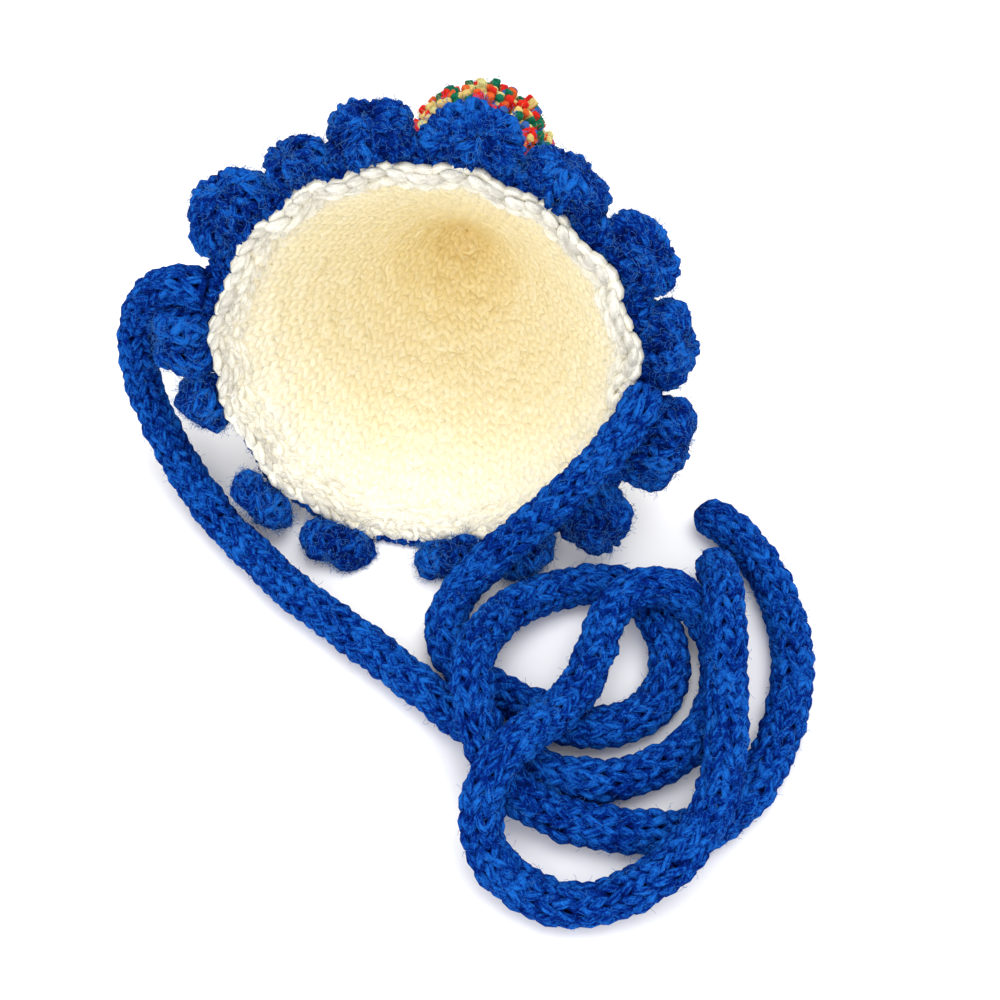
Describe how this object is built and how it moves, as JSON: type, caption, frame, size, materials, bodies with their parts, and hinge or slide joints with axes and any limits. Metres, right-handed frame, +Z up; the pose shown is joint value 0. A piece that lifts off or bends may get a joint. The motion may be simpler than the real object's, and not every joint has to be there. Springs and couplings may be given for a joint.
{
  "type": "knitted party hat",
  "caption": "Hand-knitted cone party hat for a small head, lying on its side: cream crown, blue bobble edging, two blue knitted ties and a multicolour pompom at the tip.",
  "frame": {"origin": "middle of the hat's box without the ties, on the surface that the hat lies on", "axes": "+Y from the mouth towards the tip, +Z up from the surface, +X to the right of a viewer who looks into the mouth"},
  "size_m": [0.1775, 0.2382, 0.0999],
  "materials": {
    "crown_knit": "soft matt wool, stocking stitch",
    "edging_knit": "soft matt wool, knitted bobbles",
    "pompom_yarn": "cut yarn ends in red, yellow, green and blue",
    "tie_knit": "soft matt wool, knitted cord"
  },
  "bodies": {
    "root": {"crown": "crown_knit", "edging_band": "edging_knit", "bobble_01": "edging_knit", "bobble_02": "edging_knit", "bobble_03": "edging_knit", "bobble_04": "edging_knit", "bobble_05": "edging_knit", "bobble_06": "edging_knit", "bobble_07": "edging_knit", "bobble_08": "edging_knit", "bobble_09": "edging_knit", "bobble_10": "edging_knit", "bobble_11": "edging_knit", "bobble_12": "edging_knit", "bobble_13": "edging_knit", "bobble_14": "edging_knit", "bobble_15": "edging_knit", "pompom": "pompom_yarn", "tie_left": "tie_knit", "tie_right": "tie_knit"}
  },
  "joints": []
}
